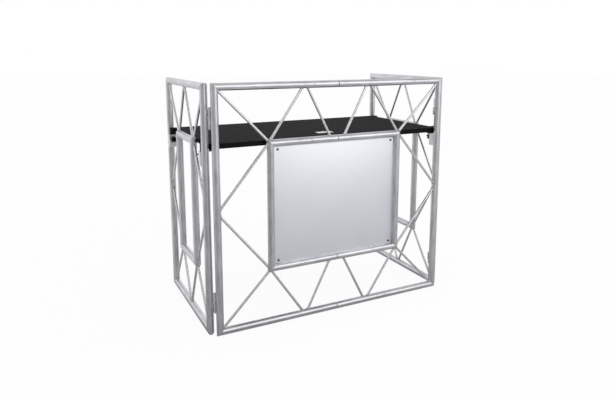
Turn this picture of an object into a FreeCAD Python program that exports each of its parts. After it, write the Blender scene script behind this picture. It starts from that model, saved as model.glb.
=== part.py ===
"""Folding tube-frame DJ booth: a two-piece front, two hinged wings, a folding table and a screwed panel.

Millimetres. +X runs along the front to the right, +Y from the front to the open back, +Z up.
The origin is the middle of the outline on the floor.
"""
import FreeCAD
import Part
import math
import os

# Overall frame, measured on the tube axes unless said otherwise
HEIGHT = 1200.0              # floor to the top of the tubes
FRONT_WIDTH = 1265.0         # between the two front posts
WING_DEPTH = 663.0           # between the two posts of a wing
WING_OFFSET_X = 37.0         # wing post outside the front post
WING_OFFSET_Y = 39.5         # wing post behind the front post
TUBE_D = 35.0
TUBE_WALL = 2.0
ROD_D = 13.0

# Inner frames and the nodes that the braces aim at
PANEL_FRAME_WIDTH = 728.0
INNER_BOTTOM = 290.0         # height of the lower inner rails
INNER_TOP = 910.0            # height of the upper inner rails
WING_INNER_WIDTH = 272.0
POST_NODE_Z = 600.0          # brace node on each upright post
RAIL_NODE_X = 180.0          # brace node on the front rails, from the middle
RAIL_NODE_SPREAD = 12.0      # between the two braces of that node
INNER_NODE_X = 35.0          # brace node on the panel frame rails, from the middle
CORNER_AIM = 10.0            # rail and post braces aim outside the panel frame's corners

# Spigots that plug the two front halves together
SPIGOT_LENGTH = 120.0
SPIGOT_WALL = 3.0
SPIGOT_FIT = 0.05            # radial play in the tube
SEAM_GAP = 1.2               # left between the two halves of a rail
SEAM_CHAMFER = 1.5           # on the outer rim of each rail at the joint

# Corner hinges, two on each side
HINGE_INSET = 160.0          # hinge centres from the floor and from the top
LEAF_HEIGHT = 48.0
LEAF_WIDTH = 32.0            # across the post
LEAF_T = 2.5                 # thinnest place, where the leaf touches the post
LEAF_WRAP = 8.0              # how far the saddle reaches round the post
LEAF_TRIM = 5.0              # plate short of the knuckle's outer end
LEAF_GAP = 1.6               # between the two leaves of a hinge
KNUCKLE_D = 12.0
HINGE_PIN_D = 6.0
PIN_HEAD_D = 10.0
PIN_HEAD_H = 3.0
PIN_HEAD_GAP = 0.3
RUNNING_FIT = 0.05           # radial play of a pin or stud that turns
LEAF_SCREW_D = 5.0
LEAF_SCREW_HEAD_D = 9.0
LEAF_SCREW_LENGTH = 14.0
LEAF_SCREW_PITCH = 26.0

# Front panel
PANEL_T = 3.0
PANEL_SETBACK = 2.0          # front face behind the tube axes
PANEL_GAP = 1.0              # to the tubes all round
TAB_T = 3.0
TAB_LEG = 62.0               # along each tube, from the inside corner
PANEL_SCREW_D = 5.0
PANEL_SCREW_HEAD_D = 12.0
PANEL_SCREW_HEAD_H = 3.0
PANEL_SCREW_INSET_X = 20.5   # from the inside of the tubes
PANEL_SCREW_INSET_Z = 15.0
PANEL_SCREW_TAIL = 4.0       # end behind the tab
PANEL_HOLE_PLAY = 0.3

# Table
TABLE_TOP = 923.0
TABLE_T = 25.0
TABLE_FRONT_GAP = 5.5        # to the back of the front tubes
TABLE_REAR_GAP = 3.5         # to the rear posts
TABLE_END_GAP = 5.5          # to the inside of the wing tubes
TABLE_CORNER_R = 15.0
TABLE_SPLIT_GAP = 1.0
EDGING_T = 2.0
TABLE_HINGE_SETBACK = 112.0  # hinge centre behind the table's front edge
TABLE_HINGE_LENGTH = 45.0
TABLE_HINGE_REACH = 45.0     # each leaf, from the fold line
TABLE_LEAF_T = 2.0
TABLE_KNUCKLE_D = 5.0
TABLE_KNUCKLE_LIFT = 0.1     # knuckle clear of the rebate's floor
TABLE_REBATE_PLAY = 0.3      # round each leaf
TABLE_PIN_D = 3.0
TABLE_LEAF_START = 4.2       # flat leaf edge, from the fold line
TABLE_KNUCKLE_GAP = 0.4
BOARD_SCREW_D = 4.0
BOARD_SCREW_HEAD_D = 7.6
BOARD_SCREW_LENGTH = 16.0
BOARD_SCREW_COUNT = 3
BOARD_SCREW_MARGIN = 8.0
BOARD_SCREW_LINE = 30.0      # screw row from the fold line

# Table brackets, rests and star knobs on the wing posts
BRACKET_WIDTH = 38.0
BRACKET_STANDOFF = 28.0      # outer face of the web from the tube
BRACKET_HEIGHT = 69.0
BRACKET_T = 3.0
BRACKET_WRAP = 7.0           # how far the flanges reach back round the tube
TONGUE_REACH = 16.0          # bracket top under the table's end
REST_T = 12.0
REST_GAP = 0.2               # below the table
REST_SETBACK = 2.0           # from the tube
REST_END_GAP = 1.2           # upstand to the table's end
REST_OVERHANG = 12.0         # outer face beyond the post's axis
KNOB_DROP = 24.0             # knob axis below the bracket's top
KNOB_D = 36.0
KNOB_T = 18.0
KNOB_LOBES = 5
KNOB_LOBE_R = 4.5
KNOB_VALLEY_R = 6.0
KNOB_ROUND = 2.0
KNOB_NECK_D = 16.0
KNOB_NECK_H = 9.0
KNOB_GAP = 0.2               # neck to the bracket
STUD_D = 8.0
STUD_HOLE_PLAY = 0.3         # in the bracket
STUD_TAIL = 8.0              # end inside the post

Vector = FreeCAD.Vector
X_AXIS = Vector(1, 0, 0)
Y_AXIS = Vector(0, 1, 0)
Z_AXIS = Vector(0, 0, 1)
ORIGIN = Vector(0, 0, 0)
RIM_TOLERANCE = 0.001

# Places worked out from the sizes above
TUBE_R = TUBE_D / 2
OVERALL_DEPTH = WING_OFFSET_Y + WING_DEPTH + TUBE_D
FRONT_Y = TUBE_R - OVERALL_DEPTH / 2
LOW_Z = TUBE_R
HIGH_Z = HEIGHT - TUBE_R
POST_X = -FRONT_WIDTH / 2
WING_X = POST_X - WING_OFFSET_X
WING_FRONT_Y = FRONT_Y + WING_OFFSET_Y
WING_REAR_Y = WING_FRONT_Y + WING_DEPTH
WING_MID_Y = (WING_FRONT_Y + WING_REAR_Y) / 2
INNER_X = -PANEL_FRAME_WIDTH / 2
INNER_FRONT_Y = WING_MID_Y - WING_INNER_WIDTH / 2
INNER_REAR_Y = WING_MID_Y + WING_INNER_WIDTH / 2
LEAF_FACE_X = WING_X + TUBE_R + LEAF_T
LEAF_FACE_Y = FRONT_Y + TUBE_R + LEAF_T
HINGE_X = LEAF_FACE_X - LEAF_T / 2
HINGE_Y = LEAF_FACE_Y - LEAF_T / 2
HINGE_LOW_Z = HINGE_INSET
HINGE_HIGH_Z = HEIGHT - HINGE_INSET
TABLE_BOTTOM = TABLE_TOP - TABLE_T
TABLE_FRONT_Y = FRONT_Y + TUBE_R + TABLE_FRONT_GAP
TABLE_REAR_Y = WING_REAR_Y - TUBE_R - TABLE_REAR_GAP
TABLE_END_X = WING_X + TUBE_R + TABLE_END_GAP
TABLE_HINGE_Y = TABLE_FRONT_Y + TABLE_HINGE_SETBACK
TABLE_REBATE_Z = TABLE_TOP - TABLE_LEAF_T
TABLE_FOLD_Z = TABLE_REBATE_Z + TABLE_KNUCKLE_D / 2 + TABLE_KNUCKLE_LIFT
BRACKET_TOP = TABLE_BOTTOM - REST_GAP - REST_T
BRACKET_FACE = TUBE_R + BRACKET_STANDOFF
KNOB_Z = BRACKET_TOP - KNOB_DROP


def box(x0, x1, y0, y1, z0, z1):
    """Block between two corners."""
    corner = Vector(min(x0, x1), min(y0, y1), min(z0, z1))
    return Part.makeBox(abs(x1 - x0), abs(y1 - y0), abs(z1 - z0), corner)


def bar(start, end, radius):
    """Round bar between two points."""
    axis = end - start
    return Part.makeCylinder(radius, axis.Length, start, axis)


def past_plane(point, normal, size):
    """Block that fills the far side of a plane, away from its normal."""
    block = Part.makeBox(size, size, size, Vector(-size / 2, -size / 2, -size))
    block.Placement = FreeCAD.Placement(point, FreeCAD.Rotation(Z_AXIS, normal))
    return block


def biggest(shape):
    """Largest solid of a cut result."""
    return max(shape.Solids, key=lambda solid: solid.Volume)


def mirrored_x(shape):
    """Copy on the other side of the booth."""
    return shape.mirror(ORIGIN, X_AXIS)


def mirrored_y(shape):
    """Copy at the other post of a wing."""
    return shape.mirror(Vector(0, WING_MID_Y, 0), Y_AXIS)


def outer_rim(hollow, point):
    """Outer edge of a tube's square end at a point on its axis."""
    circles = [edge for edge in hollow.Edges if isinstance(edge.Curve, Part.Circle)]
    rims = [edge for edge in circles if edge.Curve.Center.isEqual(point, RIM_TOLERANCE)]
    return max(rims, key=lambda edge: edge.Curve.Radius)


def tube(start, end, turn_start=None, turn_end=None):
    """Outer and hollow solids of a straight tube.

    turn_start and turn_end point along the tube that meets this one at that end, which is mitred
    there. An end without one is cut square and chamfered.
    """
    axis = (end - start).normalize()
    extra = axis * TUBE_D
    first = start - extra if turn_start else start
    last = end + extra if turn_end else end
    outer = bar(first, last, TUBE_R)
    hollow = outer.cut(bar(first, last, TUBE_R - TUBE_WALL))
    for point, inward, turn in ((start, axis, turn_start), (end, axis * -1, turn_end)):
        if turn:
            waste = past_plane(point, inward - turn, 6 * TUBE_D)
            outer = outer.cut(waste)
            hollow = hollow.cut(waste)
        else:
            hollow = hollow.makeChamfer(SEAM_CHAMFER, [outer_rim(hollow, point)])
    return outer, hollow


def frame_side(place, a, b, before=None, after=None):
    """Tube of a flat frame from corner a to corner b, mitred towards the corners beside them."""
    start = place(*a)
    end = place(*b)
    turn_start = (place(*before) - start).normalize() if before else None
    turn_end = (place(*after) - end).normalize() if after else None
    return tube(start, end, turn_start, turn_end)


def braces(place, pairs, outers):
    """Group of rods between frame nodes, each cut to sit on the tubes."""
    rods = []
    for a, b in pairs:
        rod = bar(place(*a), place(*b), ROD_D / 2)
        rods.append(biggest(rod.cut(outers)))
    return rods


def countersunk_screw(tip_face, direction, diameter, head_d, length):
    """Flat-head screw whose head is flush at tip_face."""
    cone_h = (head_d - diameter) / 2
    head = Part.makeCone(head_d / 2, diameter / 2, cone_h, tip_face, direction)
    shank = Part.makeCylinder(diameter / 2, length, tip_face, direction)
    return head.fuse(shank).removeSplitter()


def front_half():
    """Left half of the front: outer tubes, panel frame tubes and braces."""
    def place(x, z):
        return Vector(x, FRONT_Y, z)

    seam_x = -SEAM_GAP / 2
    top, bottom = (POST_X, HIGH_Z), (POST_X, LOW_Z)
    inner_top, inner_bottom = (INNER_X, INNER_TOP), (INNER_X, INNER_BOTTOM)
    sides = {
        "front_post": frame_side(place, bottom, top, (0, LOW_Z), (0, HIGH_Z)),
        "front_top_rail": frame_side(place, top, (seam_x, HIGH_Z), bottom),
        "front_bottom_rail": frame_side(place, bottom, (seam_x, LOW_Z), top),
        "panel_frame_post": frame_side(place, inner_bottom, inner_top, (0, INNER_BOTTOM), (0, INNER_TOP)),
        "panel_frame_top_rail": frame_side(place, inner_top, (seam_x, INNER_TOP), inner_bottom),
        "panel_frame_bottom_rail": frame_side(place, inner_bottom, (seam_x, INNER_BOTTOM), inner_top),
    }
    outer_x = -RAIL_NODE_X - RAIL_NODE_SPREAD / 2
    middle_x = -RAIL_NODE_X + RAIL_NODE_SPREAD / 2
    pairs = []
    for rail_z, inner_z in ((HIGH_Z, INNER_TOP), (LOW_Z, INNER_BOTTOM)):
        aim = (INNER_X - CORNER_AIM, inner_z)
        pairs.append(((POST_X, rail_z), (INNER_X, inner_z)))
        pairs.append(((POST_X, POST_NODE_Z), aim))
        pairs.append(((outer_x, rail_z), aim))
        pairs.append(((middle_x, rail_z), (-INNER_NODE_X, inner_z)))
    rods = braces(place, pairs, [outer for outer, hollow in sides.values()])
    return {name: hollow for name, (outer, hollow) in sides.items()}, rods


def wing():
    """Left wing: outer tubes, inner frame tubes and braces."""
    def place(y, z):
        return Vector(WING_X, y, z)

    top_front, top_rear = (WING_FRONT_Y, HIGH_Z), (WING_REAR_Y, HIGH_Z)
    low_front, low_rear = (WING_FRONT_Y, LOW_Z), (WING_REAR_Y, LOW_Z)
    inner_tf, inner_tr = (INNER_FRONT_Y, INNER_TOP), (INNER_REAR_Y, INNER_TOP)
    inner_bf, inner_br = (INNER_FRONT_Y, INNER_BOTTOM), (INNER_REAR_Y, INNER_BOTTOM)
    sides = {
        "front_post": frame_side(place, low_front, top_front, low_rear, top_rear),
        "rear_post": frame_side(place, low_rear, top_rear, low_front, top_front),
        "top_rail": frame_side(place, top_front, top_rear, low_front, low_rear),
        "bottom_rail": frame_side(place, low_front, low_rear, top_front, top_rear),
        "inner_front_post": frame_side(place, inner_bf, inner_tf, inner_br, inner_tr),
        "inner_rear_post": frame_side(place, inner_br, inner_tr, inner_bf, inner_tf),
        "inner_top_rail": frame_side(place, inner_tf, inner_tr, inner_bf, inner_br),
        "inner_bottom_rail": frame_side(place, inner_bf, inner_br, inner_tf, inner_tr),
    }
    top_node, bottom_node = (WING_MID_Y, HIGH_Z), (WING_MID_Y, LOW_Z)
    front_node, rear_node = (WING_FRONT_Y, POST_NODE_Z), (WING_REAR_Y, POST_NODE_Z)
    pairs = [
        (top_front, inner_tf), (top_rear, inner_tr), (low_front, inner_bf), (low_rear, inner_br),
        (top_node, inner_tf), (top_node, inner_tr), (bottom_node, inner_bf), (bottom_node, inner_br),
        (front_node, inner_tf), (front_node, inner_bf), (rear_node, inner_tr), (rear_node, inner_br),
    ]
    rods = braces(place, pairs, [outer for outer, hollow in sides.values()])
    return {name: hollow for name, (outer, hollow) in sides.items()}, rods


def leaf_spans(centre_z, wing_leaf_up):
    """Height ranges of the front knuckle and the wing knuckle of one hinge."""
    upper = (centre_z + LEAF_GAP / 2, centre_z + LEAF_HEIGHT)
    lower = (centre_z - LEAF_HEIGHT, centre_z - LEAF_GAP / 2)
    return (lower, upper) if wing_leaf_up else (upper, lower)


def plate_span(span, centre_z):
    """Height range of the plate that carries a knuckle, short at the hinge's outer end."""
    low, high = span
    return (low, high - LEAF_TRIM) if low > centre_z else (low + LEAF_TRIM, high)


def leaf_screws(head, direction, span):
    """The two screws of one leaf, through its plate into the post."""
    middle = (span[0] + span[1]) / 2
    screws = []
    for z in (middle - LEAF_SCREW_PITCH / 2, middle + LEAF_SCREW_PITCH / 2):
        screws.append(countersunk_screw(Vector(head.x, head.y, z), direction, LEAF_SCREW_D,
                                        LEAF_SCREW_HEAD_D, LEAF_SCREW_LENGTH))
    return screws


def hinge_leaf(plate, saddle, post_x, post_y, span, bore_r, screws):
    """Plate and saddle joined to a knuckle on the hinge axis, and cut to sit on the post."""
    z0, z1 = span
    foot = Vector(HINGE_X, HINGE_Y, z0)
    knuckle = Part.makeCylinder(KNUCKLE_D / 2, z1 - z0, foot)
    bore = Part.makeCylinder(bore_r, z1 - z0, foot)
    post = Part.makeCylinder(TUBE_R, z1 - z0, Vector(post_x, post_y, z0))
    leaf = knuckle.fuse([plate, saddle]).removeSplitter()
    return biggest(leaf.cut([post, bore] + screws))


def corner_hinges():
    """Left hinges: front leaves, wing leaves, pins and both sets of screws.

    The front leaf lies on the back of the front post and the wing leaf on the inner side of the wing
    post. Both plates are centred on the hinge axis, so they come into line when the wing is swung out.
    One hinge is upside down, so the wing can't lift off.
    """
    front_leaves, wing_leaves, pins, front_screws, wing_screws = [], [], [], [], []
    half = LEAF_WIDTH / 2
    reach = LEAF_T + LEAF_WRAP
    for centre_z, wing_leaf_up in ((HINGE_LOW_Z, False), (HINGE_HIGH_Z, True)):
        front_span, wing_span = leaf_spans(centre_z, wing_leaf_up)

        z0, z1 = plate_span(front_span, centre_z)
        plate = box(HINGE_X, POST_X + half, LEAF_FACE_Y - LEAF_T, LEAF_FACE_Y, z0, z1)
        saddle = box(POST_X - half, POST_X + half, LEAF_FACE_Y - reach, LEAF_FACE_Y, z0, z1)
        screws = leaf_screws(Vector(POST_X, LEAF_FACE_Y, 0), Y_AXIS * -1, (z0, z1))
        front_leaves.append(hinge_leaf(plate, saddle, POST_X, FRONT_Y, front_span,
                                       HINGE_PIN_D / 2, screws))
        front_screws += screws

        z0, z1 = plate_span(wing_span, centre_z)
        plate = box(LEAF_FACE_X - LEAF_T, LEAF_FACE_X, HINGE_Y, WING_FRONT_Y + half, z0, z1)
        saddle = box(LEAF_FACE_X - reach, LEAF_FACE_X, WING_FRONT_Y - half, WING_FRONT_Y + half, z0, z1)
        screws = leaf_screws(Vector(LEAF_FACE_X, WING_FRONT_Y, 0), X_AXIS * -1, (z0, z1))
        wing_leaves.append(hinge_leaf(plate, saddle, WING_X, WING_FRONT_Y, wing_span,
                                      HINGE_PIN_D / 2 + RUNNING_FIT, screws))
        wing_screws += screws

        bottom = centre_z - LEAF_HEIGHT - PIN_HEAD_GAP
        top = centre_z + LEAF_HEIGHT + PIN_HEAD_GAP
        pin = Part.makeCylinder(HINGE_PIN_D / 2, top - bottom, Vector(HINGE_X, HINGE_Y, bottom))
        heads = [Part.makeCylinder(PIN_HEAD_D / 2, PIN_HEAD_H, Vector(HINGE_X, HINGE_Y, z))
                 for z in (bottom - PIN_HEAD_H, top)]
        pins.append(pin.fuse(heads).removeSplitter())
    return front_leaves, wing_leaves, pins, front_screws, wing_screws


def rail_spigots():
    """Short tubes inside the rails, across the middle joint of the front."""
    radius = TUBE_R - TUBE_WALL - SPIGOT_FIT
    spigots = []
    for z in (LOW_Z, INNER_BOTTOM, INNER_TOP, HIGH_Z):
        start = Vector(-SPIGOT_LENGTH / 2, FRONT_Y, z)
        end = Vector(SPIGOT_LENGTH / 2, FRONT_Y, z)
        spigots.append(bar(start, end, radius).cut(bar(start, end, radius - SPIGOT_WALL)))
    return spigots


def panel_pieces():
    """Front panel, the four corner tabs behind it and its screws."""
    inside_x = PANEL_FRAME_WIDTH / 2 - TUBE_R
    inside_top = INNER_TOP - TUBE_R
    inside_bottom = INNER_BOTTOM + TUBE_R
    face_y = FRONT_Y + PANEL_SETBACK
    tab_y = face_y + PANEL_T
    back_y = tab_y + TAB_T
    panel = box(-inside_x + PANEL_GAP, inside_x - PANEL_GAP, face_y, tab_y,
                inside_bottom + PANEL_GAP, inside_top - PANEL_GAP)
    tabs, screws = [], []
    for side in (-1, 1):
        for corner_z, upward in ((inside_bottom, 1), (inside_top, -1)):
            root = Vector(side * (inside_x + TUBE_R), tab_y, corner_z - upward * TUBE_R)
            along_x = Vector(side * (inside_x - TAB_LEG), tab_y, root.z)
            along_z = Vector(root.x, tab_y, corner_z + upward * TAB_LEG)
            outline = Part.makePolygon([root, along_x, along_z, root])
            tab = Part.Face(outline).extrude(Vector(0, TAB_T, 0))
            rail_end = Vector(0, FRONT_Y, root.z)
            post_end = Vector(root.x, FRONT_Y, corner_z + upward * 2 * TAB_LEG)
            rail_start = Vector(root.x + side * TUBE_D, FRONT_Y, root.z)
            post_start = Vector(root.x, FRONT_Y, root.z - upward * TUBE_D)
            tab = tab.cut([bar(rail_start, rail_end, TUBE_R), bar(post_start, post_end, TUBE_R)])
            screw_x = side * (inside_x - PANEL_SCREW_INSET_X)
            screw_z = corner_z + upward * PANEL_SCREW_INSET_Z
            head = bar(Vector(screw_x, face_y - PANEL_SCREW_HEAD_H, screw_z),
                       Vector(screw_x, face_y, screw_z), PANEL_SCREW_HEAD_D / 2)
            start = Vector(screw_x, face_y, screw_z)
            end = Vector(screw_x, back_y + PANEL_SCREW_TAIL, screw_z)
            shank = bar(start, end, PANEL_SCREW_D / 2)
            panel = panel.cut(bar(start, end, PANEL_SCREW_D / 2 + PANEL_HOLE_PLAY))
            tabs.append(biggest(tab.cut(shank)))
            screws.append(head.fuse(shank).removeSplitter())
    return panel, tabs, screws


def half_outline(inset):
    """Face of the left table half, its outer edges moved in by inset, at the table's underside."""
    radius = TABLE_CORNER_R - inset
    left = TABLE_END_X + inset
    front = TABLE_FRONT_Y + inset
    rear = TABLE_REAR_Y - inset
    right = -TABLE_SPLIT_GAP / 2
    bulge = radius * (1 - math.sqrt(0.5))

    def at(x, y):
        return Vector(x, y, TABLE_BOTTOM)

    front_arc = Part.Arc(at(left, front + radius), at(left + bulge, front + bulge),
                         at(left + radius, front))
    rear_arc = Part.Arc(at(left + radius, rear), at(left + bulge, rear - bulge),
                        at(left, rear - radius))
    edges = [
        front_arc.toShape(),
        Part.makeLine(at(left + radius, front), at(right, front)),
        Part.makeLine(at(right, front), at(right, rear)),
        Part.makeLine(at(right, rear), at(left + radius, rear)),
        rear_arc.toShape(),
        Part.makeLine(at(left, rear - radius), at(left, front + radius)),
    ]
    return Part.Face(Part.Wire(edges))


def table_half():
    """Left board with its hinge rebate, and the edging round its three outer sides."""
    rise = Vector(0, 0, TABLE_T)
    whole = half_outline(0.0).extrude(rise)
    board = half_outline(EDGING_T).extrude(rise)
    half_rebate = TABLE_HINGE_LENGTH / 2 + TABLE_REBATE_PLAY
    rebate = box(-TABLE_HINGE_REACH - TABLE_REBATE_PLAY, 0,
                 TABLE_HINGE_Y - half_rebate, TABLE_HINGE_Y + half_rebate, TABLE_REBATE_Z, TABLE_TOP)
    return board.cut(rebate), whole.cut(board)


def table_knuckle(y0, y1, side, hole_r):
    """One barrel of the table hinge with the tongue that joins it to the leaf on that side."""
    start = Vector(0, y0, TABLE_FOLD_Z)
    end = Vector(0, y1, TABLE_FOLD_Z)
    tongue = box(0, side * TABLE_LEAF_START, y0, y1, TABLE_REBATE_Z, TABLE_TOP)
    barrel = bar(start, end, TABLE_KNUCKLE_D / 2).fuse(tongue)
    return barrel.cut(bar(start, end, hole_r))


def table_hinge():
    """Hinge let into the boards across the table's joint: leaves, pin and the screws of each leaf."""
    front = TABLE_HINGE_Y - TABLE_HINGE_LENGTH / 2
    rear = TABLE_HINGE_Y + TABLE_HINGE_LENGTH / 2
    third = TABLE_HINGE_LENGTH / 3
    pin_r = TABLE_PIN_D / 2
    leaves, screw_sets = [], []
    pitch = (TABLE_HINGE_LENGTH - 2 * BOARD_SCREW_MARGIN) / (BOARD_SCREW_COUNT - 1)
    for side in (-1, 1):
        leaf = box(side * TABLE_LEAF_START, side * TABLE_HINGE_REACH, front, rear,
                   TABLE_REBATE_Z, TABLE_TOP)
        if side < 0:
            spans = [(front, front + third), (rear - third, rear)]
            hole_r = pin_r
        else:
            spans = [(front + third + TABLE_KNUCKLE_GAP, rear - third - TABLE_KNUCKLE_GAP)]
            hole_r = pin_r + RUNNING_FIT
        leaf = leaf.fuse([table_knuckle(y0, y1, side, hole_r) for y0, y1 in spans]).removeSplitter()
        screws = []
        for index in range(BOARD_SCREW_COUNT):
            head = Vector(side * BOARD_SCREW_LINE, front + BOARD_SCREW_MARGIN + index * pitch, TABLE_TOP)
            screws.append(countersunk_screw(head, Z_AXIS * -1, BOARD_SCREW_D, BOARD_SCREW_HEAD_D,
                                            BOARD_SCREW_LENGTH))
        leaves.append(biggest(leaf.cut(screws)))
        screw_sets.append(screws)
    pin = bar(Vector(0, front, TABLE_FOLD_Z), Vector(0, rear, TABLE_FOLD_Z), pin_r)
    return leaves, pin, screw_sets


def table_bracket():
    """Bracket at the left wing's front post: a channel round the tube, with a tongue under the table."""
    half = BRACKET_WIDTH / 2
    back_y = WING_FRONT_Y + TUBE_R
    face_y = WING_FRONT_Y + BRACKET_FACE
    low_z = BRACKET_TOP - BRACKET_HEIGHT
    channel = box(WING_X - half, WING_X + half, back_y - BRACKET_WRAP, face_y, low_z, BRACKET_TOP)
    hollow = box(WING_X - half + BRACKET_T, WING_X + half - BRACKET_T, back_y - BRACKET_WRAP,
                 face_y - BRACKET_T, low_z, BRACKET_TOP - BRACKET_T)
    tongue = box(WING_X - half, TABLE_END_X + TONGUE_REACH, back_y, face_y,
                 BRACKET_TOP - BRACKET_T, BRACKET_TOP)
    post = bar(Vector(WING_X, WING_FRONT_Y, low_z), Vector(WING_X, WING_FRONT_Y, BRACKET_TOP), TUBE_R)
    stud_way = bar(Vector(WING_X, back_y, KNOB_Z), Vector(WING_X, face_y, KNOB_Z),
                   STUD_D / 2 + STUD_HOLE_PLAY)
    bracket = channel.cut(hollow).fuse(tongue).cut([post, stud_way])
    return biggest(bracket.removeSplitter())


def table_rest():
    """Moulded rest on the bracket: a seat under the table and an upstand beyond its end."""
    near_y = WING_FRONT_Y + TUBE_R + REST_SETBACK
    far_y = WING_FRONT_Y + BRACKET_FACE
    outer_x = WING_X - REST_OVERHANG
    seat = box(outer_x, TABLE_END_X + TONGUE_REACH, near_y, far_y, BRACKET_TOP, BRACKET_TOP + REST_T)
    upstand = box(outer_x, TABLE_END_X - REST_END_GAP, near_y, far_y,
                  BRACKET_TOP, TABLE_TOP)
    return seat.fuse(upstand).removeSplitter()


def star_outline(y):
    """Closed outline of the star grip in the plane at y: round lobes joined by tangent hollows."""
    lobe_ring = KNOB_D / 2 - KNOB_LOBE_R
    half_step = math.pi / KNOB_LOBES
    reach = KNOB_LOBE_R + KNOB_VALLEY_R
    along = lobe_ring * math.cos(half_step)
    valley_ring = along + math.sqrt(reach ** 2 - (lobe_ring * math.sin(half_step)) ** 2)
    share = KNOB_LOBE_R / reach

    def at(ring, angle):
        return Vector(WING_X + ring * math.sin(angle), y, KNOB_Z + ring * math.cos(angle))

    edges = []
    for lobe in range(KNOB_LOBES):
        angle = 2 * half_step * lobe
        centre = at(lobe_ring, angle)
        before = centre + (at(valley_ring, angle - half_step) - centre) * share
        after = centre + (at(valley_ring, angle + half_step) - centre) * share
        next_centre = at(lobe_ring, angle + 2 * half_step)
        next_before = next_centre + (at(valley_ring, angle + half_step) - next_centre) * share
        hollow = at(valley_ring - KNOB_VALLEY_R, angle + half_step)
        edges.append(Part.Arc(before, at(KNOB_D / 2, angle), after).toShape())
        edges.append(Part.Arc(after, hollow, next_before).toShape())
    return Part.Wire(edges)


def star_knob():
    """Star knob with its moulded-in stud at the left wing's front post."""
    neck_y = WING_FRONT_Y + BRACKET_FACE + KNOB_GAP
    grip_y = neck_y + KNOB_NECK_H

    def at(y):
        return Vector(WING_X, y, KNOB_Z)

    grip = Part.Face(star_outline(grip_y)).extrude(Vector(0, KNOB_T, 0))
    rims = [edge for edge in grip.Edges if edge.BoundBox.YLength < KNOB_T / 2]
    grip = grip.makeFillet(KNOB_ROUND, rims)
    neck = bar(at(neck_y), at(grip_y), KNOB_NECK_D / 2)
    stud = bar(at(WING_FRONT_Y + TUBE_R - TUBE_WALL - STUD_TAIL), at(neck_y), STUD_D / 2)
    return grip.fuse([neck, stud]).removeSplitter()


def export(name, solids):
    """Write one node."""
    shape = solids[0] if len(solids) == 1 else Part.makeCompound(solids)
    shape.exportStep(os.path.join("parts", name + ".step"))
    print(name, len(solids), "solids", round(sum(solid.Volume for solid in solids) / 1000, 2), "cm3")


def build():
    """Every node of the booth, by name."""
    nodes = {}
    front, front_rods = front_half()
    left_wing, wing_rods = wing()
    front_leaves, wing_leaves, pins, front_screws, wing_screws = corner_hinges()

    stud_hole = bar(Vector(WING_X, WING_FRONT_Y, KNOB_Z), Vector(WING_X, WING_FRONT_Y + TUBE_D, KNOB_Z),
                    STUD_D / 2 + RUNNING_FIT)
    front["front_post"] = front["front_post"].cut(front_screws)
    left_wing["front_post"] = left_wing["front_post"].cut(wing_screws + [stud_hole])
    left_wing["rear_post"] = left_wing["rear_post"].cut(mirrored_y(stud_hole))

    bracket, rest, knob = table_bracket(), table_rest(), star_knob()
    leaves, fold_pin, board_screws = table_hinge()
    board, edging = table_half()
    left_board = board.cut(board_screws[0])
    right_board = mirrored_x(board).cut(board_screws[1])
    panel, tabs, panel_screws = panel_pieces()

    both_sides = {
        "front_braces": front_rods,
        "wing_braces": wing_rods,
        "wing_hinge_leaves": wing_leaves,
        "wing_hinge_screws": wing_screws,
        "table_brackets": [bracket, mirrored_y(bracket)],
        "table_rests": [rest, mirrored_y(rest)],
        "front_knob": [knob],
        "rear_knob": [mirrored_y(knob)],
        "table_edging": [edging],
    }
    both_sides.update({name: [shape] for name, shape in front.items()})
    both_sides.update({"wing_" + name: [shape] for name, shape in left_wing.items()})
    for name, solids in both_sides.items():
        nodes["left_" + name] = solids
        nodes["right_" + name] = [mirrored_x(solid) for solid in solids]

    nodes["left_table_board"] = [left_board]
    nodes["right_table_board"] = [right_board]
    nodes["left_table_hinge_leaf"] = [leaves[0]]
    nodes["right_table_hinge_leaf"] = [leaves[1]]
    nodes["left_table_hinge_screws"] = board_screws[0]
    nodes["right_table_hinge_screws"] = board_screws[1]
    nodes["table_hinge_pin"] = [fold_pin]
    nodes["rail_spigots"] = rail_spigots()
    nodes["front_panel"] = [panel]
    nodes["panel_tabs"] = tabs
    nodes["panel_screws"] = panel_screws
    nodes["front_hinge_leaves"] = front_leaves + [mirrored_x(leaf) for leaf in front_leaves]
    nodes["front_hinge_screws"] = front_screws + [mirrored_x(screw) for screw in front_screws]
    nodes["hinge_pins"] = pins + [mirrored_x(pin) for pin in pins]
    return nodes


os.makedirs("parts", exist_ok=True)
for node_name, node_solids in build().items():
    export(node_name, node_solids)
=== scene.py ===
"""Looks of the folding tube-frame DJ booth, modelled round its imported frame. Metres."""
import math
import bpy
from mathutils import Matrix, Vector
from mathutils.bvhtree import BVHTree


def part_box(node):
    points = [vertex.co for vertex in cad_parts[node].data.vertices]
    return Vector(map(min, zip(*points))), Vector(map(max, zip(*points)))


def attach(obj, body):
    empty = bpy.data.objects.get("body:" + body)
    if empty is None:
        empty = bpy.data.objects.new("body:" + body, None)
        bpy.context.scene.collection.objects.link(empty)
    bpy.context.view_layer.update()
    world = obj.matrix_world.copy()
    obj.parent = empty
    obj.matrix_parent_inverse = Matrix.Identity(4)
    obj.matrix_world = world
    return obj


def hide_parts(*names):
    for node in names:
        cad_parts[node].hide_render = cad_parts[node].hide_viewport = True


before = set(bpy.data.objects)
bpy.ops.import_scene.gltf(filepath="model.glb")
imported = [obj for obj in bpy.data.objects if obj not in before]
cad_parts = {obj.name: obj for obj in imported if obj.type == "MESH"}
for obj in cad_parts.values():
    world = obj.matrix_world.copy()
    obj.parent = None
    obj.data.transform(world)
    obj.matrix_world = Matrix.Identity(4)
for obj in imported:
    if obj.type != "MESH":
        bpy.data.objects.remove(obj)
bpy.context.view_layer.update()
scene = bpy.context.scene
SIDES = ("left", "right")

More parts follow.
